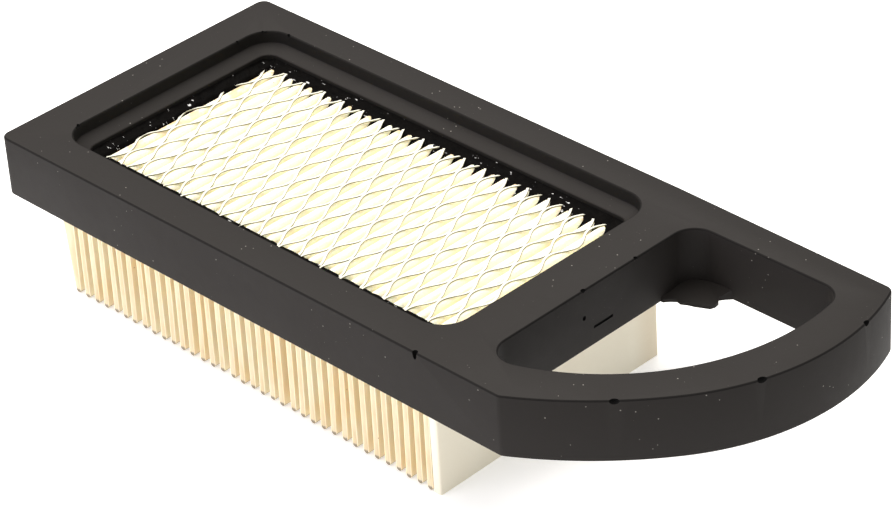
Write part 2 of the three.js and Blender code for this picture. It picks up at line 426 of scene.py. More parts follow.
class Graph:
    """The node tree of one material."""

    def __init__(self, name: str) -> None:
        """Makes an empty material.

        Args:
            name: The material's name.
        """
        self.material = bpy.data.materials.new(name)
        self.material.use_nodes = True
        self.tree = self.material.node_tree
        self.tree.nodes.clear()

    def node(
        self,
        kind: str,
        settings: dict[str, object] | None = None,
        sockets: dict[str | int, object] | None = None,
        output: str | int = 0,
    ) -> Term:
        """Adds a node.

        Args:
            kind: The node's type.
            settings: Its properties, such as an operation, which are set first.
            sockets: Values or terms for its input sockets, by name or number.
            output: The output socket that is returned.

        Returns:
            The chosen output, as a term.
        """
        made = self.tree.nodes.new(kind)
        for name, value in (settings or {}).items():
            setattr(made, name, value)
        for name, value in (sockets or {}).items():
            if isinstance(value, Term):
                self.tree.links.new(value.socket, made.inputs[name])
            else:
                made.inputs[name].default_value = value
        return Term(self, made.outputs[output])

    def object_point(self) -> Term:
        """The shaded point in Object coordinates."""
        return self.node("ShaderNodeTexCoord", output="Object")

    def axis(self, number: int) -> Term:
        """One coordinate of the shaded point: 0 is X, 1 is Y and 2 is Z."""
        return self.node("ShaderNodeSeparateXYZ", sockets={0: self.object_point()}, output=number)

    def stored(self, name: str) -> Term:
        """A number stored on the piece's faces."""
        return self.node("ShaderNodeAttribute", {"attribute_name": name}, output="Fac")

    def noise(self, size: float, detail: float = 3.0, stretch: tuple = (1, 1, 1), rough: float = 0.5) -> Term:
        """Noise from 0 to 1.

        Args:
            size: Size of a cell in millimetres.
            detail: Octaves.
            stretch: How many times longer the cells are along each axis.
            rough: Strength of the finer octaves.

        Returns:
            The noise value.
        """
        scale = tuple(1 / s for s in stretch)
        point = self.node("ShaderNodeMapping", sockets={"Vector": self.object_point(), "Scale": scale})
        return self.node(
            "ShaderNodeTexNoise",
            sockets={"Vector": point, "Scale": 1 / (size * MM), "Detail": detail, "Roughness": rough},
        )

    def specks(self, spacing: float, size: float, seed: float) -> Term:
        """Small round specks: 1 on a speck and 0 elsewhere.

        Args:
            spacing: Mean distance between specks in millimetres.
            size: Radius of a speck as a share of the spacing.
            seed: Offset of the pattern.

        Returns:
            The mask.
        """
        point = self.node(
            "ShaderNodeMapping", sockets={"Vector": self.object_point(), "Location": (seed, seed / 3, 0)}
        )
        distance = self.node(
            "ShaderNodeTexVoronoi", sockets={"Vector": point, "Scale": 1 / (spacing * MM), "Randomness": 1.0}
        )
        return 1 - distance.step(size * 0.6, size)

    def mix(self, share: Term | float, first: Term | tuple, second: Term | tuple) -> Term:
        """A colour between two, by a share from 0 to 1; 6, 7 and 2 are the node's colour sockets."""
        return self.node(
            "ShaderNodeMix",
            {"data_type": "RGBA"},
            {"Factor": share, 6: first, 7: second},
            output=2,
        )

    def bump(self, height: Term, depth: float, below: Term | None = None) -> Term:
        """A normal from a height.

        Args:
            height: Height from 0 to 1.
            depth: Depth of the relief in millimetres.
            below: A normal that this one adds to.

        Returns:
            The normal.
        """
        sockets = {"Height": height, "Distance": depth * MM, "Strength": 1.0}
        if below is not None:
            sockets["Normal"] = below
        return self.node("ShaderNodeBump", sockets=sockets)

    def finish(self, **sockets: object) -> bpy.types.Material:
        """Adds the principled shader and the output.

        Args:
            **sockets: Values for the shader, with underscores for spaces in the socket names.

        Returns:
            The finished material.
        """
        named = {name.replace("_", " "): value for name, value in sockets.items()}
        shader = self.node("ShaderNodeBsdfPrincipled", sockets=named)
        self.node_output(shader)
        return self.material

    def node_output(self, shader: Term) -> None:
        """Links a shader to the material's output."""
        made = self.tree.nodes.new("ShaderNodeOutputMaterial")
        self.tree.links.new(shader.socket, made.inputs["Surface"])


# ---------------------------------------------------------------------------
# Finishes
# ---------------------------------------------------------------------------


@dataclass(frozen=True)
class MouldedSkin:
    """Black moulded polyurethane: satin and cloudy, with painted shade on its rounded top edges, walls, pits
    and slit, and a little dust.
    """

    dark: tuple = (0.0135, 0.0114, 0.0104, 1)
    light: tuple = (0.0205, 0.0176, 0.0158, 1)
    # edge is the near-black colour of the painted shade on rounded top edges, walls, pits and the slit.
    edge: tuple = (0.0010, 0.0009, 0.0009, 1)
    dust: tuple = (0.34, 0.32, 0.29, 1)

    def material(self) -> bpy.types.Material:
        """Builds the material.

        Returns:
            The finished material.
        """
        g = Graph("moulded_skin")
        clouds = g.noise(26, 4)
        mottle = g.noise(3.2, 3)
        dust = g.specks(2.6, 0.08, 0.4) * g.noise(22, 2).step(0.50, 0.56)
        fine_dust = g.specks(1.6, 0.06, 1.3) * g.noise(14, 2).step(0.5, 0.6)
        colour = g.mix(clouds * 0.65 + mottle * 0.35, self.dark, self.light)
        colour = g.mix(fine_dust * 0.25 + dust * 0.75, colour, self.dust)
        # Painted shade: faces that the frame stored as dark are mixed towards the near-black edge colour.
        colour = g.mix(g.stored("dark"), colour, self.edge)
        relief = g.bump(g.noise(34, 2), 0.25)
        relief = g.bump(g.noise(0.35, 2), 0.012, relief)
        relief = g.bump(g.noise(2.4, 3), 0.03, relief)
        rough = 0.46 + 0.14 * clouds + 0.08 * mottle + 0.32 * g.stored("dark")
        return g.finish(Base_Color=colour, Roughness=rough, Normal=relief, Specular_IOR_Level=0.16)


@dataclass(frozen=True)
class FilterPaper:
    """Cream resin-treated filter paper: fibres, soft mottling and stains by the resin, with a painted
    highlight on the top folds, a painted glow on their upper part and painted shadow at their bottoms near
    the front side.

    The bands are in metres of the row frame: where a change starts and where it is complete.
    """

    pale: tuple = (0.95, 0.85, 0.63, 1)
    warm: tuple = (0.94, 0.77, 0.50, 1)
    # crest is a painted highlight: the near-white colour that the top folds take.
    crest: tuple = (0.99, 0.97, 0.79, 1)
    fibre: tuple = (0.82, 0.62, 0.38, 1)
    stain: tuple = (0.62, 0.38, 0.16, 1)
    spot: tuple = (0.36, 0.20, 0.08, 1)
    # Painted shadow at the bottom of the folds near the front side.
    painted_foot_shadow: tuple = (0.20, 0.17, 0.12, 1)
    # A painted glow: the warm colour that the upper part of the folds emits.
    painted_glow: tuple = (1.0, 0.93, 0.62, 1)
    crest_band: tuple[float, float] = (0.036, 0.041)
    painted_glow_band: tuple[float, float] = (0.034, 0.038)
    rear_band: tuple[float, float] = (0.0275, 0.0325)
    plain_end_band: tuple[float, float] = (-0.0975, -0.0945)
    painted_foot_shadow_band: tuple[float, float] = (0.0004, 0.0010)
    front_band: tuple[float, float] = (-0.040, -0.037)

    def material(self) -> bpy.types.Material:
        """Builds the material.

        Returns:
            The finished material.
        """
        g = Graph("filter_paper")
        patches = g.noise(7, 4, (1, 1.6, 2.5))
        fibres = g.noise(0.8, 3, (1, 4, 1), 0.65)
        height = g.axis(2)
        crest = height.step(*self.crest_band)
        colour = g.mix(patches.step(0.3, 0.7), self.pale, self.warm)
        # Painted highlight: the tops of the folds are mixed towards the near-white crest colour.
        colour = g.mix(crest * 0.85, colour, self.crest)
        colour = g.mix(fibres.step(0.55, 0.8) * 0.2 * (1 - crest), colour, self.fibre)
        colour = g.mix(g.specks(3.6, 0.06, 2.2) * g.noise(15, 2).step(0.5, 0.6) * 0.8, colour, self.spot)
        near_rear = g.axis(1).step(*self.rear_band)
        near_plain_end = 1 - g.axis(0).step(*self.plain_end_band)
        wicked = g.noise(3, 2).step(0.42, 0.62) * crest
        colour = g.mix(wicked * 0.8 * (near_rear + near_plain_end), colour, self.stain)
        # Painted shadow: the bottoms of the folds near the front side are mixed towards a dark colour.
        painted_foot_shadow = (1 - height.step(*self.painted_foot_shadow_band)) * (1 - g.axis(1).step(*self.front_band))
        colour = g.mix(painted_foot_shadow * 0.8, colour, self.painted_foot_shadow)
        relief = g.bump(fibres, 0.05)
        relief = g.bump(g.noise(5, 2), 0.15, relief)
        return g.finish(
            Base_Color=colour,
            Roughness=0.82 + 0.12 * patches,
            Normal=relief,
            # Painted glow: the upper folds emit a little warm light of their own.
            Emission_Color=g.mix(height.step(*self.painted_glow_band), (0, 0, 0, 1), self.painted_glow),
            Emission_Strength=0.11,
            Subsurface_Weight=0.4,
            Subsurface_Radius=(0.0020, 0.0016, 0.0009),
            Specular_IOR_Level=0.25,
        )


@dataclass(frozen=True)
class ScreenWire:
    """Expanded screen with pale coated faces, worn in places, and painted shade on the side faces of its
    strands.
    """

    face: tuple = (0.90, 0.885, 0.77, 1)
    worn: tuple = (0.80, 0.77, 0.63, 1)
    # cut and the lighter colour below it are painted shade for the strands' side faces.
    cut: tuple = (0.20, 0.195, 0.125, 1)
    painted_side_shade_light: tuple = (0.42, 0.40, 0.28, 1)

    def material(self) -> bpy.types.Material:
        """Builds the material.

        Returns:
            The finished material.
        """
        g = Graph("screen_wire")
        wear = g.noise(4, 4)
        drawn = g.noise(0.5, 2, (1, 5, 1))
        faces = g.mix(wear.step(0.4, 0.75), self.face, self.worn)
        edges = g.mix(g.noise(5, 2).step(0.35, 0.7), self.cut, self.painted_side_shade_light)
        # Painted shade: side faces stored as cut take the dark colours.
        colour = g.mix(g.stored("cut"), faces, edges)
        relief = g.bump(drawn, 0.02)
        return g.finish(
            Base_Color=colour, Metallic=0.25 * g.stored("cut"), Roughness=0.42 + 0.25 * drawn, Normal=relief
        )


@dataclass(frozen=True)
class PouredResin:
    """Glossy black sealing urethane, lumpy where it flowed between the pleats, with painted highlights in
    sparse spots.
    """

    deep: tuple = (0.002, 0.002, 0.0022, 1)
    skin: tuple = (0.006, 0.0052, 0.0046, 1)
    # A painted highlight: the near-white colour of the sparse highlight spots.
    painted_glint: tuple = (0.75, 0.75, 0.74, 1)

    def material(self) -> bpy.types.Material:
        """Builds the material.

        Returns:
            The finished material.
        """
        g = Graph("poured_resin")
        lumps = g.noise(1.8, 3)
        ripples = g.noise(0.6, 2)
        coat_and_painted_glints = g.noise(1.1, 2, (1.7, 0.6, 1)).step(0.66, 0.70) * g.noise(6, 2).step(0.50, 0.56)
        colour = g.mix(lumps, self.deep, self.skin)
        # Painted highlight: sparse spots are mixed towards near white; the same spots also get a glossy coat.
        colour = g.mix(coat_and_painted_glints * 0.8, colour, self.painted_glint)
        relief = g.bump(lumps, 0.35)
        relief = g.bump(ripples, 0.08, relief)
        return g.finish(
            Base_Color=colour,
            Roughness=0.3 + 0.3 * lumps,
            Normal=relief,
            Specular_IOR_Level=0.08,
            IOR=1.15,
            Coat_Weight=coat_and_painted_glints,
            Coat_Roughness=0.05,
        )


@dataclass(frozen=True)
class EdgeGlue:
    """Cream glue along the pinched pleat ends, with thin and thick places and painted shadow along its
    bottom.
    """

    thin: tuple = (0.72, 0.58, 0.36, 1)
    thick: tuple = (0.78, 0.67, 0.46, 1)
    # Painted shadow along the bottom of the glue lines.
    painted_foot_shadow: tuple = (0.22, 0.19, 0.14, 1)
    painted_foot_shadow_band: tuple[float, float] = (0.0009, 0.0015)

    def material(self) -> bpy.types.Material:
        """Builds the material.

        Returns:
            The finished material.
        """
        g = Graph("edge_glue")
        runs = g.noise(2.6, 3, (1, 1, 4))
        colour = g.mix(runs.step(0.35, 0.65), self.thin, self.thick)
        # Painted shadow: the bottom of each glue line is mixed towards a dark colour.
        colour = g.mix(0.85 - 0.85 * g.axis(2).step(*self.painted_foot_shadow_band), colour, self.painted_foot_shadow)
        relief = g.bump(g.noise(0.9, 3, (1, 1, 3)), 0.08)
        return g.finish(Base_Color=colour, Roughness=0.62 + 0.25 * runs, Normal=relief)


@dataclass(frozen=True)
class EndCard:
    """Stiff grey-cream card, browner towards its rear edge, with faint creases."""

    face: tuple = (0.94, 0.89, 0.74, 1)
    shade: tuple = (0.89, 0.82, 0.66, 1)
    edge: tuple = (0.74, 0.63, 0.46, 1)
    rear_band: tuple[float, float] = (0.030, 0.0385)

    def material(self) -> bpy.types.Material:
        """Builds the material.

        Returns:
            The finished material.
        """
        g = Graph("end_card")
        patches = g.noise(12, 4)
        fibres = g.noise(0.7, 3, (1, 3, 1))
        rear = g.axis(1).step(*self.rear_band)
        colour = g.mix(patches, self.face, self.shade)
        colour = g.mix(rear * 0.6, colour, self.edge)
        colour = g.mix(fibres.step(0.5, 0.8) * 0.2, colour, self.shade)
        relief = g.bump(fibres, 0.03)
        relief = g.bump(g.noise(16, 2), 0.3, relief)
        return g.finish(Base_Color=colour, Roughness=0.72 + 0.2 * patches, Normal=relief)


@dataclass(frozen=True)
class StudioFloor:
    """Plain white sweep that glows a little."""

    tone: tuple = (0.93, 0.93, 0.93, 1)
    patch: tuple = (0.91, 0.91, 0.905, 1)
    glow: float = 0.42

    def material(self) -> bpy.types.Material:
        """Builds the material.

        Returns:
            The finished material.
        """
        g = Graph("studio_floor")
        colour = g.mix(g.noise(300, 2), self.tone, self.patch)
        return g.finish(
            Base_Color=colour, Roughness=0.85, Emission_Color=(1, 1, 1, 1), Emission_Strength=self.glow
        )


# ---------------------------------------------------------------------------
# The moulded frame
# ---------------------------------------------------------------------------


@dataclass(frozen=True)
class Dimple:
    """A small pit, such as a vent mark or a pinhole: its place and its three radii."""

    u: float
    v: float
    z: float
    radii: tuple[float, float, float]
    turn: float = 0.0


@dataclass
class MouldedFrame:
    """Soft black frame: rim, window with a sloping ledge, crossbar, pull loop and one patch of flash."""

    width: float = 98.0
    top: float = 49.4
    bottom: float = 31.4
    corner: float = 2.8
    front_side: float = 188.6
    front_corner: float = 3.0
    loop_headings: tuple[float, float] = (29.8, 51.5)
    loop_radii: tuple[float, float] = (116.0, 67.0)
    loop_corner: float = 3.0
    rear_taper: float = 1.2
    taper_start: float = 160.0
    window_low: tuple[float, float] = (12.6, 11.3)
    window_high: tuple[float, float] = (159.5, 88.0)
    window_corner: float = 8.0
    ledge_depth: float = 3.8
    ledge_fall: float = 1.5
    ledge_width: float = 4.2
    window_depth: float = 9.0
    opening_left: float = 173.5
    opening_rear: float = 87.3
    opening_centre: tuple[float, float] = (160.5, 72.4)
    opening_radius: float = 64.0
    opening_corner: float = 6.5
    pocket_low: tuple[float, float] = (8.15, 7.3)
    pocket_high: tuple[float, float] = (158.45, 90.4)
    pocket_top: float = 41.9
    pocket_base: float = 20.0
    pocket_corner: float = 1.2
    overshoot: float = 10.0
    flash_thickness: float = 3.4
    tear_drop: float = 0.72
    edge_radius: float = 0.42
    ledge_edge_radius: float = 0.35
    slit_place: tuple[float, float] = (53.3, 36.7)
    slit_length: float = 7.0
    slit_radius: float = 0.42
    # Painted shade: how far the rounded top edges, the walls inside the window and the outer walls are
    # darkened.
    painted_edge_shade: float = 0.6
    painted_inner_wall_shade: float = 0.65
    painted_outer_wall_shade: float = 0.15
    dimples: tuple[Dimple, ...] = (
        Dimple(160.2, 0.3, 49.1, (0.8, 0.9, 1.9), 0.5),
        Dimple(211.3, 16.6, 49.2, (1.3, 1.1, 0.9), 0.7),
        Dimple(232.3, 46.2, 49.2, (1.3, 1.1, 0.9), 1.2),
        Dimple(236.0, 81.0, 49.1, (1.0, 0.8, 0.8), 1.6),
        Dimple(173.3, 46.6, 49.3, (0.7, 0.8, 0.6)),
        Dimple(173.3, 66.0, 49.3, (0.6, 0.6, 0.5)),
        Dimple(173.5, 46.4, 41.1, (0.6, 0.6, 0.7)),
        Dimple(13.2, 76.6, 49.2, (1.3, 0.45, 0.6), 0.4),
        Dimple(14.3, 84.4, 49.3, (0.9, 0.45, 0.5), 2.4),
        Dimple(21.6, 87.7, 49.2, (1.2, 0.5, 0.6), 2.3),
        Dimple(12.8, 17.2, 49.2, (1.1, 0.45, 0.5), 2.6),
    )

    def build(self) -> bpy.types.Object:
        """Builds the whole moulding.

        Returns:
            The finished object.
        """
        piece = self._outline()
        cut(piece, self._ledge())
        cut(piece, self._opening())
        self._soften(piece, self.edge_radius)
        cut(piece, self._window(self.ledge_width, self.window_depth))
        self._soften(piece, self.ledge_edge_radius)
        cut(piece, self._pocket())
        cut(piece, self._flash(), "UNION")
        for dimple in self.dimples:
            cut(piece, self._pit(dimple))
        cut(piece, self._slit())
        smooth(piece, 38)
        # Stores the painted shade of each face, which the skin mixes towards near black.
        mark_faces(piece, "dark", self._painted_shade)
        piece.name = "soft_frame"
        return piece

    def dress(self, piece: bpy.types.Object) -> None:
        """Gives the frame its skin and hands it over."""
        hand_over(piece, MouldedSkin().material(), "moulded_frame", "frame_moulding")

    def window_at(self, inset: float) -> tuple[tuple[float, float], tuple[float, float]]:
        """The window's lowest and highest u and v at an inset from its rim.

        Args:
            inset: Distance from the rim.

        Returns:
            The two corners.
        """
        low = (self.window_low[0] + inset, self.window_low[1] + inset)
        high = (self.window_high[0] - inset, self.window_high[1] - inset)
        return low, high

    def _pocket(self) -> bpy.types.Object:
        """The cutter of the pocket that holds the pack, open at the frame's underside.

        Returns:
            The cutter.
        """
        base, corner = self.pocket_base, self.pocket_corner
        return round_block("pocket", self.pocket_low, self.pocket_high, corner, base, self.pocket_top - base)

    def _ledge(self) -> bpy.types.Object:
        """The cutter of the window's wall and ledge, with an underside that falls towards the middle.

        Returns:
            The cutter.
        """
        cutter = self._window(0.0, self.ledge_depth)
        underside = min(face.center.z for face in cutter.data.polygons)
        pick(cutter, "FACE", lambda face: face.center.z <= underside)
        bpy.ops.mesh.inset(thickness=self.ledge_width * MM, depth=self.ledge_fall * MM)
        bpy.ops.object.mode_set(mode="OBJECT")
        return cutter

    def _window(self, inset: float, depth: float) -> bpy.types.Object:
        """The cutter of the window.

        Args:
            inset: Distance from the window's rim.
            depth: How far the cutter reaches below the top.

        Returns:
            The cutter.
        """
        low, high = self.window_at(inset)
        corner = self.window_corner - inset
        return round_block("window_cutter", low, high, corner, self.top - depth, 2 * self.overshoot)

    def _painted_shade(self, face: bpy.types.MeshPolygon) -> float:
        """How much painted shade a face takes: most in the pits and the slit, less on rounded top edges and
        on walls.

        Args:
            face: A face of the finished moulding.

        Returns:
            1 in a pit or the slit, 0 on a flat face, and a part between them elsewhere.
        """
        u, v, z = PLACE.back(face.center)
        if self._in_pit(face, u, v, z) or self._in_slit(u, v, z):
            return 1.0
        if self.top - self.edge_radius < z < self.top - 0.01 and 0.05 < face.normal.z < 0.99:
            return self.painted_edge_shade
        if abs(face.normal.z) > 0.3:
            return 0.0
        (u0, v0), (u1, v1) = self.window_at(-1.0)
        in_window = u0 < u < u1 and v0 < v < v1
        return self.painted_inner_wall_shade if in_window else self.painted_outer_wall_shade

    def _in_pit(self, face: bpy.types.MeshPolygon, u: float, v: float, z: float) -> bool:
        """Whether a face lies in one of the dimples.

        Args:
            face: The face; only a small one below the top can be in a pit.
            u: Its place along the length.
            v: Its place across the width.
            z: Its height.

        Returns:
            True in a pit.
        """
        if face.area >= 2 * MM * MM or z >= self.top - 0.02:
            return False
        centres = [(Vector((d.u, d.v, d.z)), max(d.radii)) for d in self.dimples]
        return any((Vector((u, v, z)) - centre).length < reach for centre, reach in centres)

    def _in_slit(self, u: float, v: float, z: float) -> bool:
        """Whether a place lies in the slit, just behind the crossbar's wall.

        Args:
            u: Place along the length.
            v: Place across the width.
            z: Height.

        Returns:
            True in the slit.
        """
        slit_v, slit_z = self.slit_place
        behind = 0.02 < self.opening_left - u < 0.6
        return behind and abs(v - slit_v) < self.slit_length / 2 + 0.3 and abs(z - slit_z) < 0.6

    def _outline(self) -> bpy.types.Object:
        """The outer body: a rectangle whose loop end is two arcs, longer on the rear side.

        Returns:
            The solid.
        """
        first, second = (math.radians(h) for h in self.loop_headings)
        long_radius, end_radius = self.loop_radii
        pen = Pen("frame_body", self.corner, 0, self.bottom)
        pen.line_to(self.front_side - self.front_corner * math.tan(first / 2), 0)
        pen.turn_to(first, self.front_corner, 5)
        pen.turn_to(second, long_radius, 20)
        rear_end = self.width - self.rear_taper
        centre_v = pen.where()[1] + end_radius * math.cos(second)
        reach = end_radius - self.loop_corner
        pen.turn_to(math.acos((centre_v + self.loop_corner - rear_end) / reach), end_radius, 36)
        pen.turn_to(math.pi, self.loop_corner, 8)
        pen.line_to(self.taper_start, self.width)
        pen.line_to(self.corner, self.width)
        pen.heading = math.pi
        pen.turn_to(1.5 * math.pi, self.corner, 8)
        pen.line_to(0, self.corner)
        pen.heading = -math.pi / 2
        pen.turn_to(0, self.corner, 8)
        return pen.close(self.top - self.bottom)

    def _opening(self) -> bpy.types.Object:
        """The cutter of the loop's opening: two straight sides, one arc and three round corners.

        Returns:
            The cutter.
        """
        (u, v), radius, r = self.opening_centre, self.opening_radius, self.opening_corner
        front_u = self.opening_left + r
        front_v = v - math.sqrt((radius - r) ** 2 - (front_u - u) ** 2)
        rear_v = self.opening_rear - r
        rear_u = u + math.sqrt((radius - r) ** 2 - (rear_v - v) ** 2)
        front_heading = math.atan2(front_v - v, front_u - u) + math.pi / 2
        rear_heading = math.atan2(rear_v - v, rear_u - u) + math.pi / 2
        pen = Pen("opening", self.opening_left, rear_v, self.bottom - self.overshoot, -math.pi / 2)
        pen.line_to(self.opening_left, front_v)
        pen.turn_to(front_heading, r, 10)
        pen.turn_to(rear_heading, radius, 36)
        pen.turn_to(math.pi, r, 10)
        pen.line_to(front_u, self.opening_rear)
        pen.turn_to(1.5 * math.pi, r, 10)
        return pen.close(4 * self.overshoot)

    def _flash(self) -> bpy.types.Object:
        """The patch of flash in the rear corner of the opening: a thin web with a torn edge.

        Its two straight sides run a little way into the walls. The tear is given from the opening's corner.

        Returns:
            The solid.
        """
        left, rear = self.opening_left, self.opening_rear
        root = 2.0
        pen = Pen("flash", left - root, rear - 12.5, self.bottom)
        tear = [
            (0.6, -12.3), (1.8, -11.0), (3.2, -9.9), (4.6, -10.2), (6.3, -9.3), (8.4, -8.6), (9.6, -8.0),
            (11.9, -6.9), (12.4, -5.6), (12.2, -4.0), (11.0, -2.6), (12.0, -1.2), (13.6, 0.4),
        ]
        for across, along in tear:
            pen.line_to(left + across, rear + along)
        pen.line_to(left + 13, rear + root)
        pen.line_to(left - root, rear + root)
        web = pen.close(self.flash_thickness)
        self._thin_tear(web)
        return web

    def _thin_tear(self, web: bpy.types.Object) -> None:
        """Lowers the top of the flash along its torn edge, so that it tapers away from the walls.

        Args:
            web: The patch of flash.
        """

        def torn(vertex: bpy.types.MeshVertex) -> bool:
            """True on the upper rim of the torn edge."""
            u, v, z = PLACE.back(vertex.co)
            upper = z > self.bottom + 0.5 * self.flash_thickness
            return upper and u > self.opening_left and v < self.opening_rear

        pick(web, "VERT", torn)
        bpy.ops.transform.translate(value=(0, 0, -self.tear_drop * self.flash_thickness * MM))
        bpy.ops.object.mode_set(mode="OBJECT")

    def _soften(self, piece: bpy.types.Object, radius: float) -> None:
        """Rounds every sharp edge of the moulding to a radius."""
        face_outwards(piece)
        apply_modifier(
            piece,
            "BEVEL",
            width=radius * MM,
            segments=3,
            limit_method="ANGLE",
            angle_limit=math.radians(40),
            miter_outer="MITER_ARC",
        )

    def _pit(self, dimple: Dimple) -> bpy.types.Object:
        """The cutter of one dimple: a sphere squashed to the dimple's radii.

        Args:
            dimple: The dimple.

        Returns:
            The cutter.
        """
        deselect()
        bpy.ops.mesh.primitive_uv_sphere_add(
            segments=14,
            ring_count=8,
            radius=MM,
            location=PLACE(dimple.u, dimple.v, dimple.z),
            rotation=(0, 0, dimple.turn),
            scale=dimple.radii,
        )
        return settle(bpy.context.object)

    def _slit(self) -> bpy.types.Object:
        """The cutter of the short slit in the crossbar's wall.

        Returns:
            The cutter.
        """
        deselect()
        bpy.ops.mesh.primitive_cylinder_add(
            vertices=12,
            radius=self.slit_radius * MM,
            depth=self.slit_length * MM,
            location=PLACE(self.opening_left, *self.slit_place),
            rotation=(math.pi / 2, 0, 0),
        )
        return settle(bpy.context.object)


# ---------------------------------------------------------------------------
# The pleated pack
# ---------------------------------------------------------------------------


@dataclass
class PleatPack:
    """One sheet of filter paper in pleats, pinched and glued along both long sides.

    A top fold is an arc of top_radius, pressed flat to a share of it. A bottom fold narrows from fold_radius
    to pinched_radius over pinch_reach towards the glued ends. The jitters are the folding's largest errors.
    """

    pleats: int = 36
    top: float = 41.0
    end_wall: float = 9.9
    top_first: float = 17.28
    top_last: float = 156.6
    bottom_first: float = 14.7
    bottom_last: float = 154.1
    low_v: float = 8.8
    high_v: float = 89.3
    flare: float = 0.9
    top_radius: float = 1.2
    flatness: float = 0.75
    fold_radius: float = 1.0
    pinched_radius: float = 0.85
    pinch_reach: float = 5.5
    paper: float = 0.34
    bottom_jitter: float = 0.22
    top_jitter: float = 0.15
    tip_jitter: tuple[float, float] = (-0.15, 0.25)
    bow: float = 0.3
    wave: float = 0.12
    glue_base: float = 0.5
    glue_headroom: float = 2.2
    glue_inset: float = 0.1
    glue_radius: float = 0.55
    glue_lumps: float = 0.12
    glue_depth: float = 0.55
    arc_points: int = 4
    wall_points: int = 5
    rows: int = 26
    seed: int = 11
    bottoms: list[float] = field(init=False)
    tops: list[float] = field(init=False)
    tips: list[tuple[float, float]] = field(init=False)
    bows: list[float] = field(init=False)

    def __post_init__(self) -> None:
        """Places the folds, each a little off its even pitch."""
        dice = random.Random(self.seed)
        low, high = self.tip_jitter
        self.bottoms = self._folds(dice, self.bottom_first, self.bottom_last, self.bottom_jitter)
        self.tops = [self.end_wall, *self._folds(dice, self.top_first, self.top_last, self.top_jitter)]
        self.tips = [(dice.uniform(low, high), dice.uniform(low, high)) for _ in range(self.pleats)]
        self.bows = [dice.uniform(-self.bow, self.bow) for _ in range(self.pleats)]

    def _folds(self, dice: random.Random, first: float, last: float, jitter: float) -> list[float]:
        """u of one fold of every pleat.

        Args:
            dice: The seeded source of the errors.
            first: u of the first fold.
            last: u of the last fold.
            jitter: The largest error.

        Returns:
            The places, in order.
        """
        pitch = (last - first) / (self.pleats - 1)
        return [first + pitch * number + dice.uniform(-jitter, jitter) for number in range(self.pleats)]

    def pinch(self, v: float, number: int) -> float:
        """Radius of a bottom fold: small at the glued ends and full inside.

        Args:
            v: Place across the width.
            number: The pleat, from the plain end.

        Returns:
            The radius.
        """
        near, far = self.tips[number]
        inside = min(v - self.low_v - near, self.high_v - far - v)
        share = max(0.0, min(1.0, inside / self.pinch_reach))
        share = share * share * (3 - 2 * share)
        return self.pinched_radius + (self.fold_radius - self.pinched_radius) * share

    def section(self, number: int, v: float) -> list[tuple[float, float]]:
        """The sheet's path round one pleat at v, from one top fold to the next.

        Args:
            number: The pleat, from the plain end.
            v: Place across the width.

        Returns:
            The u and z of each point.
        """
        low = self.pinch(v, number)
        centre, left, right = self.bottoms[number], self.tops[number], self.tops[number + 1]
        cut_edge = 0.1
        near = cut_edge if number == 0 else self.top_radius
        far = self.top_radius
        ripple = self.wave * math.sin(v / 5.1 + number * 1.9)
        wave = ripple + 0.3 * self.bows[number] * math.sin(v / 17 + number)
        arc = self.arc_points - 1
        quarter = math.pi / 2
        path = [self._crest(left, near, quarter * (1 - k / arc)) for k in range(arc + 1)]
        path += self._wall(path[-1], (centre - low, low), number, wave)
        for k in range(1, 2 * arc):
            angle = math.pi + quarter * k / arc
            path.append((centre + low * math.cos(angle), low + low * math.sin(angle)))
        path += self._wall((centre + low, low), self._crest(right, far, math.pi), number, wave)
        path += [self._crest(right, far, math.pi - quarter * k / arc) for k in range(arc)]
        return path

    def _crest(self, centre: float, radius: float, angle: float) -> tuple[float, float]:
        """u and z of a point on a pressed top fold, at an angle from +u."""
        return centre + radius * math.cos(angle), self.top - radius * self.flatness * (1 - math.sin(angle))

    def _wall(
        self, start: tuple[float, float], end: tuple[float, float], number: int, wave: float
    ) -> list[tuple[float, float]]:
        """Points down or up one wall of a pleat, slightly bowed and wavy.

        Args:
            start: u and z of the wall's first end.
            end: u and z of its other end.
            number: The pleat, from the plain end.
            wave: How far the wall's middle stands off at this place across the width.

        Returns:
            The u and z of each point.
        """
        points = []
        for k in range(self.wall_points + 1):
            share = k / self.wall_points
            swell = math.sin(math.pi * share)
            u = start[0] + (end[0] - start[0]) * share + swell * (wave + 0.25 * self.bows[number])
            points.append((u, start[1] + (end[1] - start[1]) * share))
        return points

    def _flare_at(self, u: float) -> float:
        """How far the front side stands out at u; it grows towards the loop end."""
        return self.flare * (u / self.top_last) ** 2

    def row_v(self, share: float) -> float:
        """v of a row of the sheet; the rows crowd towards both ends."""
        eased = 0.5 - 0.5 * math.cos(math.pi * share)
        return self.low_v + (self.high_v - self.low_v) * (0.75 * eased + 0.25 * share)

    def build_sheet(self) -> bpy.types.Object:
        """Builds the pleated sheet.

        Returns:
            The finished object.
        """
        per_pleat = len(self.section(0, 50.0))
        columns = self.pleats * per_pleat - 1
        sections: dict[tuple[int, int], list[tuple[float, float]]] = {}
        for row in range(self.rows + 1):
            for number in range(self.pleats):
                sections[number, row] = self.section(number, self.row_v(row / self.rows))

        def place(along: float, across: float) -> Vector:
            """The place of one vertex of the sheet.

            Args:
                along: Share of the sheet's columns, 0 to 1.
                across: Share of the sheet's rows, 0 to 1.

            Returns:
                The place.
            """
            column = round(along * columns)
            row = round(across * self.rows)
            number, point = divmod(column, per_pleat)
            u, z = sections[number, row][point]
            v = self.row_v(across) - self._flare_at(u) * (1 - across)
            if row == 0:
                v += self.tips[number][0]
            if row == self.rows:
                v -= self.tips[number][1]
            return PLACE(u, v, z + self.paper / 2)

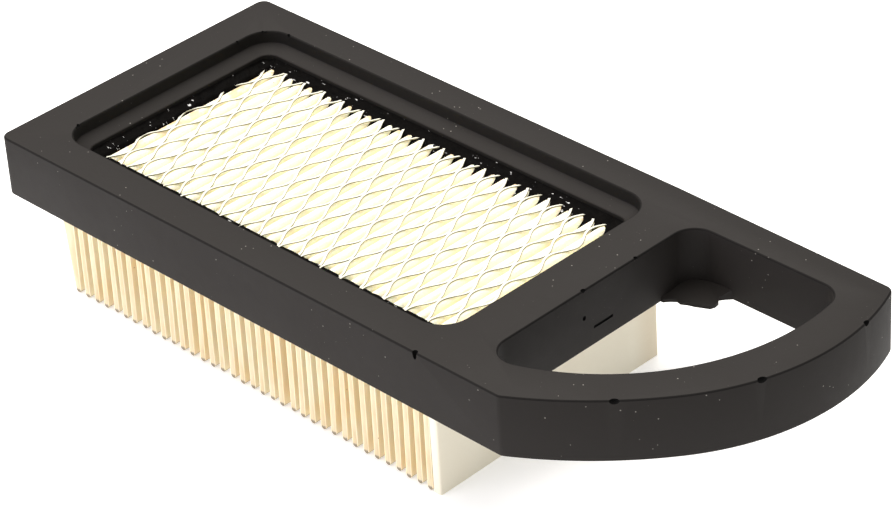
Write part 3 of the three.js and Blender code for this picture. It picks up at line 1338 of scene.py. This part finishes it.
        sheet = shape(grid("pleated_sheet", columns, self.rows), place)
        apply_modifier(sheet, "SOLIDIFY", thickness=self.paper * MM, offset=0.0)
        smooth(sheet, 50)
        return sheet

    def build_glue(self, name: str, rear: bool) -> bpy.types.Object:
        """Builds the row of glue lines that close the pleat ends along one side.

        Args:
            name: The object's name.
            rear: True for the rear side.

        Returns:
            The finished object.
        """
        lines = []
        for number in range(self.pleats):
            tip = self.tips[number][1 if rear else 0]
            if rear:
                v = self.high_v - tip - self.glue_inset
            else:
                v = self.low_v + tip + self.glue_inset - self._flare_at(self.bottoms[number])
            path = self.section(number, self.high_v if rear else self.low_v)
            lines.append(self._glue_line(number, path, v))
        return join(lines, name)

    def _glue_line(self, number: int, path: list[tuple[float, float]], v: float) -> bpy.types.Object:
        """One upright line of glue that fills the room between the two walls of a pinched pleat.

        Args:
            number: The pleat, from the plain end.
            path: The pleat's path at its end, as `section` gives it.
            v: Place of the line across the width.

        Returns:
            The line.
        """
        height = self.top - self.glue_headroom
        walls = self.arc_points + self.wall_points + 1
        down = path[self.arc_points : walls]
        rise = walls + 2 * self.arc_points - 3
        up = path[rise : rise + self.wall_points + 1][::-1]
        bar = self._bar(f"glue_{number}")
        for vertex in bar.data.vertices:
            share = (vertex.co.z + 1) / 2
            z = self.glue_base + height * share
            spot = min(len(down) - 1.001, (1 - z / self.top) * (len(down) - 1))
            index = int(max(0.0, spot))
            part = max(0.0, spot) - index
            left = down[index][0] * (1 - part) + down[index + 1][0] * part
            right = up[index][0] * (1 - part) + up[index + 1][0] * part
            fat = self.glue_radius + self.glue_lumps * grain(Vector((number, 0, z * MM * 3)), 6, 3.1)
            u = (left + right) / 2 + vertex.co.x * max(fat, (right - left) / 2)
            vertex.co = PLACE(u, v + vertex.co.y * fat * self.glue_depth, z)
        return bar

    def _bar(self, name: str) -> bpy.types.Object:
        """An eight-sided bar from -1 to 1, cut into short lengths.

        Args:
            name: The object's name.

        Returns:
            The bar.
        """
        lengths = 9
        deselect()
        bpy.ops.mesh.primitive_cylinder_add(vertices=8, radius=1, depth=2)
        bar = bpy.context.object
        bar.name = name
        bpy.ops.object.mode_set(mode="EDIT")
        for level in range(1, lengths):
            bpy.ops.mesh.select_all(action="SELECT")
            bpy.ops.mesh.bisect(plane_co=(0, 0, -1 + level * 2 / lengths), plane_no=(0, 0, 1))
        bpy.ops.object.mode_set(mode="OBJECT")
        return bar

    def dress(self, sheet: bpy.types.Object, front: bpy.types.Object, rear: bpy.types.Object) -> None:
        """Gives the sheet and its glue their finishes and hands them over.

        Args:
            sheet: The pleated sheet.
            front: The glue along the front side.
            rear: The glue along the rear side.
        """
        hand_over(sheet, FilterPaper().material(), "filter_paper", "pleated_paper")
        glue = EdgeGlue().material()
        for piece, node in ((front, "edge_seal_front"), (rear, "edge_seal_rear")):
            smooth(piece, 60)
            hand_over(piece, glue, "edge_glue", node)


@dataclass
class EndPanel:
    """Card on the last pleat: a face with its two upright edges folded back round the pleats.

    bend is the radius of the two folds, and curl is the shares of it that their two strips go outwards. bow
    is how far the face stands off at its lower edge, and rise is how far that uneven edge climbs from lowest.
    """

    middle_u: float = 157.8
    low_v: float = 7.7
    high_v: float = 90.0
    top: float = 41.0
    fold_back: float = 2.0
    bend: float = 0.5
    curl: tuple[float, float] = (0.64, 0.24)
    card: float = 0.42
    bow: float = 0.072
    lowest: float = 0.02
    rise: float = 0.4

    def build(self) -> bpy.types.Object:
        """Builds the card.

        Returns:
            The finished object.
        """
        curl = [share * self.bend for share in self.curl]
        fold = ((0.12, curl[0]), (0.38, curl[1]), (0.9 * self.fold_back, 0.0))
        panel = shape(grid("end_card", 40, 22), self._place)
        for side in (0, 1):
            self._pick_side(panel, side)
            outwards = 2 * side - 1
            for back, out in fold:
                step = (-back * MM, outwards * out * MM, 0)
                bpy.ops.mesh.extrude_region_move(TRANSFORM_OT_translate={"value": step})
        bpy.ops.object.mode_set(mode="OBJECT")
        apply_modifier(panel, "SOLIDIFY", thickness=self.card * MM, offset=0.0)
        face_outwards(panel)
        smooth(panel, 60)
        return panel

    def _place(self, along: float, up: float) -> Vector:
        """The place of one vertex: slightly bowed, with an uneven lower edge.

        Args:
            along: Share of the way across the face, 0 to 1.
            up: Share of the way up the face, 0 to 1.

        Returns:
            The place.
        """
        bow = self.bow * math.sin(math.pi * along * 2 + 0.6) * (1 - up)
        low = self.lowest + self.rise * math.sin(math.pi * along) ** 2 * (0.6 + 0.4 * math.sin(along * 7))
        z = low + (self.top - low) * up
        return PLACE(self.middle_u + min(0.0, bow), self.face_v(along), z)

    def face_v(self, along: float) -> float:
        """v of a share of the way across the flat face, between the two bends."""
        margin = self.bend * sum(self.curl) + self.card / 2
        return self.low_v + margin + (self.high_v - self.low_v - 2 * margin) * along

    def _pick_side(self, panel: bpy.types.Object, side: int) -> None:
        """Enters edit mode with the edges of one upright side of the card selected.

        Args:
            panel: The card.
            side: 0 for the front side and 1 for the rear side.
        """
        wanted = PLACE(0, self.face_v(side)).y
        vertices = panel.data.vertices
        pick(panel, "EDGE", lambda edge: all(abs(vertices[i].co.y - wanted) < 1e-5 for i in edge.vertices))

    def dress(self, piece: bpy.types.Object) -> None:
        """Gives the card its finish and hands it over."""
        hand_over(piece, EndCard().material(), "end_card", "end_panel_loop_end")


# ---------------------------------------------------------------------------
# Screen and sealing
# ---------------------------------------------------------------------------


@dataclass
class MeshScreen:
    """Expanded sheet over the pleats: flat wavy strands that touch at every other crest.

    node is the u and v of one crossing, and the whole pattern is turned about it. waver and sag are how far
    the strands stray sideways and up or down, and ragged is how uneven their rear ends are.
    """

    low: tuple[float, float] = (16.6, 15.0)
    high: tuple[float, float] = (153.4, 83.1)
    level: float = 41.42
    cell: tuple[float, float] = (7.755, 16.2)
    node: tuple[float, float] = (108.15, 59.8)
    turn: float = math.radians(1.5)
    strand: float = 0.8
    thickness: float = 0.3
    tilt: float = math.radians(9)
    waver: float = 0.10
    sag: float = 0.10
    ragged: float = 1.3
    step: float = 0.6
    seed: int = 5

    def strand_point(self, number: int, along: float, across: float) -> Vector:
        """A point on one strand of the screen, which lies a little askew in the frame.

        Args:
            number: The strand, counted from the one on the loop side of the known node.
            along: Distance along the strand from the known node's row.
            across: -1 at the strand's one edge and 1 at the other.

        Returns:
            The point.
        """
        swing = math.cos(2 * math.pi * along / self.cell[1]) * (-1 if number % 2 == 0 else 1)
        reach = self.cell[0] / 4 - self.strand / 2
        edge = across * self.strand / 2
        a = (number + 0.5) * self.cell[0] / 2 + swing * reach + edge * math.cos(self.tilt)
        a += self.waver * grain(Vector((a * MM, along * MM, number)), 9, 2.0)
        u = self.node[0] + a * math.cos(self.turn) - along * math.sin(self.turn)
        v = self.node[1] + a * math.sin(self.turn) + along * math.cos(self.turn)
        sag = self.sag * grain(Vector((u * MM, v * MM, 0)), 30, 5.0)
        return PLACE(u, v, self.level + edge * math.sin(self.tilt) - 0.05 * swing + sag)

    def build(self) -> bpy.types.Object:
        """Builds all the strands.

        Returns:
            The finished object.
        """
        pitch = self.cell[0] / 2
        first = math.ceil((self.low[0] - self.node[0]) / pitch)
        last = math.floor((self.high[0] - self.node[0]) / pitch)
        dice = random.Random(self.seed)
        strands = []
        for number in range(first, last):
            rise = (number + 0.5) * pitch * math.sin(self.turn)
            start = self.low[1] - self.node[1] - rise
            end = self.high[1] - self.node[1] - rise - dice.uniform(0.0, self.ragged)
            ribbon = grid(f"strand_{number}", 2, round((end - start) / self.step))

            def place(across: float, share: float) -> Vector:
                """The place of one vertex of this strand, which is shaped before the next one starts."""
                return self.strand_point(number, start + (end - start) * share, 2 * across - 1)

            strands.append(shape(ribbon, place))
        screen = join(strands, "expanded_screen")
        apply_modifier(screen, "SOLIDIFY", thickness=self.thickness * MM, offset=0.0)
        smooth(screen, 30)
        # Marks the strands' side faces, which the wire finish paints in shade.
        mark_faces(screen, "cut", lambda face: float(abs(face.normal.z) < 0.6))
        return screen

    def dress(self, piece: bpy.types.Object) -> None:
        """Gives the screen its finish and hands it over."""
        hand_over(piece, ScreenWire().material(), "screen_wire", "mesh_screen")


@dataclass
class SealingBead:
    """One straight run of poured urethane between the window's inner wall and the pleats.

    The profile gives the run's height at distances from the wall; where it falls below the folds, they show.
    The lumps grow to full height over the distance calm, and tuck is how far the run goes into the wall.
    """

    side: Side
    length: tuple[float, float]
    wall: float
    profile: tuple[tuple[float, float], ...]
    lump: float = 0.30
    calm: float = 1.5
    tuck: float = 0.15
    skin: float = 0.5
    step: float = 0.4
    rows: int = 18

    @property
    def along_u(self) -> bool:
        """True for the two long runs."""
        return self.side in (Side.FRONT, Side.REAR)

    @property
    def inward(self) -> int:
        """Direction from the wall to the screen: 1 or -1."""
        return 1 if self.side in (Side.FRONT, Side.PLAIN_END) else -1

    def build(self) -> bpy.types.Object:
        """Builds the run.

        Returns:
            The finished object.
        """
        columns = round((self.length[1] - self.length[0]) / self.step)
        bead = shape(grid(f"bead_{self.side.value}", columns, self.rows), self._place)
        apply_modifier(bead, "SOLIDIFY", thickness=self.skin * MM, offset=-1.0)
        face_outwards(bead)
        smooth(bead, 70)
        return bead

    def _height(self, out: float) -> float:
        """Height of the run, read from its profile.

        Args:
            out: Distance from the wall.

        Returns:
            The height.
        """
        for (near, high), (far, low) in zip(self.profile, self.profile[1:]):
            if out <= far:
                return high + (low - high) * (out - near) / (far - near)
        return self.profile[-1][1]

    def _place(self, along: float, share: float) -> Vector:
        """The place of one vertex: a meniscus at the wall, then a lumpy fall into the pleats.

        Args:
            along: Share of the run's length, 0 to 1.
            share: Share of its width from the wall, 0 to 1.

        Returns:
            The place.
        """
        run = self.length[0] + (self.length[1] - self.length[0]) * along
        out = share * self.profile[-1][0]
        across = self.wall + self.inward * (out - self.tuck)
        spot = PLACE(run, across) if self.along_u else PLACE(across, run)
        rough = self.lump * min(1.0, out / self.calm)
        z = self._height(out) + rough * (grain(spot, 3.2, 1.0) + 0.5 * grain(spot, 1.1, 4.0))
        spot.z = z * MM
        return spot

    def dress(self, piece: bpy.types.Object, material: bpy.types.Material) -> None:
        """Gives the run its finish and hands it over."""
        hand_over(piece, material, "sealing_resin", f"sealing_bead_{self.side.value}")


def sealing_beads(moulding: MouldedFrame) -> list[SealingBead]:
    """The four runs round the screen, each from its meniscus on the window's inner wall.

    Args:
        moulding: The frame that the runs seal.

    Returns:
        The runs.
    """
    (u0, v0), (u1, v1) = moulding.window_at(moulding.ledge_width)
    meniscus = ((0, 42.75), (0.5, 42.3))
    front = (*meniscus, (3.0, 41.9), (4.5, 41.55), (5.2, 40.8), (7.0, 38.8))
    rear = (*meniscus, (1.4, 41.75), (2.6, 41.0), (4.2, 40.2), (6.4, 38.6))
    plain_end = (*meniscus, (1.6, 41.9), (2.9, 41.6), (3.3, 41.0), (4.4, 39.2))
    loop_end = (*meniscus, (1.2, 41.8), (2.2, 40.9), (3.4, 39.0))
    return [
        SealingBead(Side.FRONT, (u0, u1), v0, front),
        SealingBead(Side.REAR, (u0, u1), v1, rear),
        SealingBead(Side.PLAIN_END, (v0, v1), u0, plain_end, 0.45),
        SealingBead(Side.LOOP_END, (v0, v1), u1, loop_end),
    ]


# ---------------------------------------------------------------------------
# Studio
# ---------------------------------------------------------------------------


@dataclass(frozen=True)
class Softbox:
    """A square lamp: its place and side in metres, its power in watts and its tint."""

    name: str
    place: tuple[float, float, float]
    side: float
    power: float
    tint: tuple[float, float, float]


@dataclass
class Studio:
    """Plain white floor, soft light and the camera; lengths are metres and angles are degrees."""

    target: tuple[float, float, float] = (0.00074, 0.00233, 0.0314)
    azimuth: float = 46.85
    elevation: float = 33.24
    roll: float = -3.82
    distance: float = 0.9417
    lens: float = 144.5
    floor_size: float = 14.0
    floor_gap: float = 0.0001
    surroundings: float = 0.5
    softboxes: tuple[Softbox, ...] = (
        Softbox("top_softbox", (-0.40, 0.20, 1.25), 1.5, 29.0, (1.0, 0.96, 0.90)),
        Softbox("front_fill", (-0.55, -1.25, 0.55), 1.0, 11.0, (0.95, 0.91, 1.0)),
    )

    def build(self) -> None:
        """Makes the camera, floor, world and lamps."""
        self._camera()
        self._floor()
        self._world()
        for softbox in self.softboxes:
            self._lamp(softbox)

    def _camera(self) -> None:
        """The camera, looking at the target from its azimuth and elevation."""
        data = bpy.data.cameras.new("camera")
        data.lens = self.lens
        data.clip_start = 0.01
        camera = bpy.data.objects.new("camera", data)
        bpy.context.scene.collection.objects.link(camera)
        turn = Euler((math.radians(90 - self.elevation), 0, math.radians(self.azimuth)), "XYZ").to_matrix()
        camera.location = Vector(self.target) + turn @ Vector((0, 0, self.distance))
        rolled = turn @ Euler((0, 0, math.radians(self.roll)), "XYZ").to_matrix()
        camera.rotation_euler = rolled.to_euler()
        bpy.context.scene.camera = camera

    def _floor(self) -> None:
        """A wide floor just under the height that the cartridge stands on."""
        deselect()
        bpy.ops.mesh.primitive_plane_add(size=self.floor_size, location=(0, 0, -self.floor_gap))
        floor = settle(bpy.context.object)
        floor.name = "studio_floor"
        floor.data.materials.append(StudioFloor().material())

    def _world(self) -> None:
        """Even white surroundings."""
        world = bpy.data.worlds.new("studio")
        world.use_nodes = True
        background = world.node_tree.nodes["Background"]
        background.inputs["Color"].default_value = (1, 1, 1, 1)
        background.inputs["Strength"].default_value = self.surroundings
        bpy.context.scene.world = world
        bpy.context.scene.view_settings.view_transform = "Standard"

    def _lamp(self, softbox: Softbox) -> None:
        """One lamp that faces the cartridge.

        Args:
            softbox: The lamp's place, size, power and tint.
        """
        data = bpy.data.lights.new(softbox.name, "AREA")
        data.color = softbox.tint
        data.size = softbox.side
        data.energy = softbox.power
        lamp = bpy.data.objects.new(softbox.name, data)
        bpy.context.scene.collection.objects.link(lamp)
        lamp.location = softbox.place
        lamp.rotation_euler = (Vector(softbox.place) - Vector(self.target)).to_track_quat("Z", "Y").to_euler()


def main() -> None:
    """Builds the studio and every piece in order."""
    logging.basicConfig(level=logging.INFO, format="%(name)s: %(message)s")
    Studio().build()
    moulding = MouldedFrame()
    moulding.dress(moulding.build())
    pack = PleatPack()
    pack.dress(pack.build_sheet(), pack.build_glue("glue_front", False), pack.build_glue("glue_rear", True))
    panel = EndPanel()
    panel.dress(panel.build())
    screen = MeshScreen()
    screen.dress(screen.build())
    resin = PouredResin().material()
    for bead in sealing_beads(moulding):
        bead.dress(bead.build(), resin)


if __name__ == "__main__":
    main()
